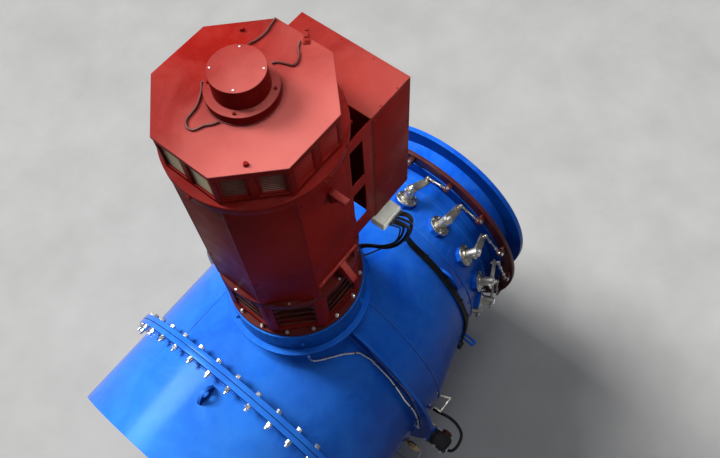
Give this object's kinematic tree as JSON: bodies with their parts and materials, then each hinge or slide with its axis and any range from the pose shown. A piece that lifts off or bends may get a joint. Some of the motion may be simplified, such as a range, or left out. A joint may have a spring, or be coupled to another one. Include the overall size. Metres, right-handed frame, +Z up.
{
  "type": "bulb turbine with vertical generator",
  "caption": "Horizontal pipe-casing water turbine on two saddles with an octagonal vertical generator on its pedestal and a ring of guide vanes worked by one regulating ring.",
  "frame": {"origin": "on the floor under the middle of the unit's bounding box; the casing axis runs at y = 0.09 m, the generator shaft at x = -0.12 m", "axes": "+X downstream along the casing axis, +Y towards the far side of the unit, +Z up along the generator shaft"},
  "size_m": [2.76, 2.2312, 4.358],
  "materials": {
    "casing_blue": "glossy blue enamel, a little dusty",
    "generator_red": "satin red oxide paint",
    "ring_maroon": "dark red paint, dulled by grease",
    "bare_steel": "machined and zinc plated",
    "box_grey": "light grey baked paint",
    "cable_black": "matt black sheath",
    "brass_fitting": "dull brass",
    "tube_steel": "drawn tube"
  },
  "bodies": {
    "unit": {"inlet_pipe": "casing_blue", "barrel": "casing_blue", "pedestal": "casing_blue", "stiffening_rib": "casing_blue", "taper_cone": "casing_blue", "guide_cone": "casing_blue", "runner_chamber": "casing_blue", "gear_bulb": "casing_blue", "valve_branch": "casing_blue", "upstream_saddle": "casing_blue", "downstream_saddle": "casing_blue", "lid": "generator_red", "lid_cap": "generator_red", "hood": "generator_red", "rim": "generator_red", "stator_housing": "generator_red", "lower_ledge": "generator_red", "lantern": "generator_red", "base_flange": "generator_red", "upper_bracket": "generator_red", "lower_bracket": "generator_red", "terminal_box": "generator_red", "near_side_plate": "generator_red", "far_side_plate": "generator_red", "shaft_coupling": "generator_red", "lead_clamp": "generator_red", "far_lead": "ring_maroon", "right_lead": "ring_maroon", "left_lead": "ring_maroon", "valve_cap": "ring_maroon", "runner": "bare_steel", "side_handle": "bare_steel", "junction_box": "box_grey", "casing_cable": "cable_black", "thick_cable": "cable_black", "thin_cable": "cable_black", "valve_hose": "cable_black", "side_valve": "cable_black", "drain_cock": "brass_fitting", "grease_tube": "tube_steel"},
    "regulating_ring": {"regulating_ring": "ring_maroon"},
    "guide_vane_01": {"guide_vane_01": "bare_steel"},
    "guide_vane_02": {"guide_vane_02": "bare_steel"},
    "guide_vane_03": {"guide_vane_03": "bare_steel"},
    "guide_vane_04": {"guide_vane_04": "bare_steel"},
    "guide_vane_05": {"guide_vane_05": "bare_steel"},
    "guide_vane_06": {"guide_vane_06": "bare_steel"},
    "guide_vane_07": {"guide_vane_07": "bare_steel"},
    "guide_vane_08": {"guide_vane_08": "bare_steel"},
    "guide_vane_09": {"guide_vane_09": "bare_steel"},
    "guide_vane_10": {"guide_vane_10": "bare_steel"},
    "guide_vane_11": {"guide_vane_11": "bare_steel"},
    "guide_vane_12": {"guide_vane_12": "bare_steel"},
    "guide_vane_13": {"guide_vane_13": "bare_steel"},
    "guide_vane_14": {"guide_vane_14": "bare_steel"},
    "guide_vane_15": {"guide_vane_15": "bare_steel"},
    "guide_vane_16": {"guide_vane_16": "bare_steel"}
  },
  "joints": [
    {"name": "ring_turn", "type": "hinge", "parent": "unit", "child": "regulating_ring", "pos_m": [1.144, 0.09, 1.3], "axis": [1, 0, 0], "range_deg": [-7, 7]},
    {"name": "guide_vane_01_turn", "type": "hinge", "parent": "unit", "child": "guide_vane_01", "pos_m": [0.875, 0.04418, 2.00854], "axis": [-0.4695, 0.057, -0.8811], "range_deg": [-30, 30]},
    {"name": "guide_vane_02_turn", "type": "hinge", "parent": "unit", "child": "guide_vane_02", "pos_m": [0.875, -0.22348, 1.93707], "axis": [-0.4695, 0.3898, -0.7922], "range_deg": [-30, 30]},
    {"name": "guide_vane_03_turn", "type": "hinge", "parent": "unit", "child": "guide_vane_03", "pos_m": [0.875, -0.44341, 1.76861], "axis": [-0.4695, 0.6633, -0.5827], "range_deg": [-30, 30]},
    {"name": "guide_vane_04_turn", "type": "hinge", "parent": "unit", "child": "guide_vane_04", "pos_m": [0.875, -0.58214, 1.52882], "axis": [-0.4695, 0.8358, -0.2845], "range_deg": [-30, 30]},
    {"name": "guide_vane_05_turn", "type": "hinge", "parent": "unit", "child": "guide_vane_05", "pos_m": [0.875, -0.61854, 1.25418], "axis": [-0.4695, 0.8811, 0.057], "range_deg": [-30, 30]},
    {"name": "guide_vane_06_turn", "type": "hinge", "parent": "unit", "child": "guide_vane_06", "pos_m": [0.875, -0.54707, 0.98652], "axis": [-0.4695, 0.7922, 0.3898], "range_deg": [-30, 30]},
    {"name": "guide_vane_07_turn", "type": "hinge", "parent": "unit", "child": "guide_vane_07", "pos_m": [0.875, -0.37861, 0.76659], "axis": [-0.4695, 0.5827, 0.6633], "range_deg": [-30, 30]},
    {"name": "guide_vane_08_turn", "type": "hinge", "parent": "unit", "child": "guide_vane_08", "pos_m": [0.875, -0.13881, 0.62786], "axis": [-0.4695, 0.2845, 0.8358], "range_deg": [-30, 30]},
    {"name": "guide_vane_09_turn", "type": "hinge", "parent": "unit", "child": "guide_vane_09", "pos_m": [0.875, 0.13582, 0.59146], "axis": [-0.4695, -0.057, 0.8811], "range_deg": [-30, 30]},
    {"name": "guide_vane_10_turn", "type": "hinge", "parent": "unit", "child": "guide_vane_10", "pos_m": [0.875, 0.40348, 0.66293], "axis": [-0.4695, -0.3898, 0.7922], "range_deg": [-30, 30]},
    {"name": "guide_vane_11_turn", "type": "hinge", "parent": "unit", "child": "guide_vane_11", "pos_m": [0.875, 0.62341, 0.83139], "axis": [-0.4695, -0.6633, 0.5827], "range_deg": [-30, 30]},
    {"name": "guide_vane_12_turn", "type": "hinge", "parent": "unit", "child": "guide_vane_12", "pos_m": [0.875, 0.76214, 1.07119], "axis": [-0.4695, -0.8358, 0.2845], "range_deg": [-30, 30]},
    {"name": "guide_vane_13_turn", "type": "hinge", "parent": "unit", "child": "guide_vane_13", "pos_m": [0.875, 0.79854, 1.34582], "axis": [-0.4695, -0.8811, -0.057], "range_deg": [-30, 30]},
    {"name": "guide_vane_14_turn", "type": "hinge", "parent": "unit", "child": "guide_vane_14", "pos_m": [0.875, 0.72707, 1.61348], "axis": [-0.4695, -0.7922, -0.3898], "range_deg": [-30, 30]},
    {"name": "guide_vane_15_turn", "type": "hinge", "parent": "unit", "child": "guide_vane_15", "pos_m": [0.875, 0.55861, 1.83341], "axis": [-0.4695, -0.5827, -0.6633], "range_deg": [-30, 30]},
    {"name": "guide_vane_16_turn", "type": "hinge", "parent": "unit", "child": "guide_vane_16", "pos_m": [0.875, 0.31882, 1.97214], "axis": [-0.4695, -0.2845, -0.8358], "range_deg": [-30, 30]}
  ],
  "couplings": [
    {"joint": "guide_vane_01_turn", "follows": "ring_turn", "ratio": 4.2857},
    {"joint": "guide_vane_02_turn", "follows": "ring_turn", "ratio": 4.2857},
    {"joint": "guide_vane_03_turn", "follows": "ring_turn", "ratio": 4.2857},
    {"joint": "guide_vane_04_turn", "follows": "ring_turn", "ratio": 4.2857},
    {"joint": "guide_vane_05_turn", "follows": "ring_turn", "ratio": 4.2857},
    {"joint": "guide_vane_06_turn", "follows": "ring_turn", "ratio": 4.2857},
    {"joint": "guide_vane_07_turn", "follows": "ring_turn", "ratio": 4.2857},
    {"joint": "guide_vane_08_turn", "follows": "ring_turn", "ratio": 4.2857},
    {"joint": "guide_vane_09_turn", "follows": "ring_turn", "ratio": 4.2857},
    {"joint": "guide_vane_10_turn", "follows": "ring_turn", "ratio": 4.2857},
    {"joint": "guide_vane_11_turn", "follows": "ring_turn", "ratio": 4.2857},
    {"joint": "guide_vane_12_turn", "follows": "ring_turn", "ratio": 4.2857},
    {"joint": "guide_vane_13_turn", "follows": "ring_turn", "ratio": 4.2857},
    {"joint": "guide_vane_14_turn", "follows": "ring_turn", "ratio": 4.2857},
    {"joint": "guide_vane_15_turn", "follows": "ring_turn", "ratio": 4.2857},
    {"joint": "guide_vane_16_turn", "follows": "ring_turn", "ratio": 4.2857}
  ]
}
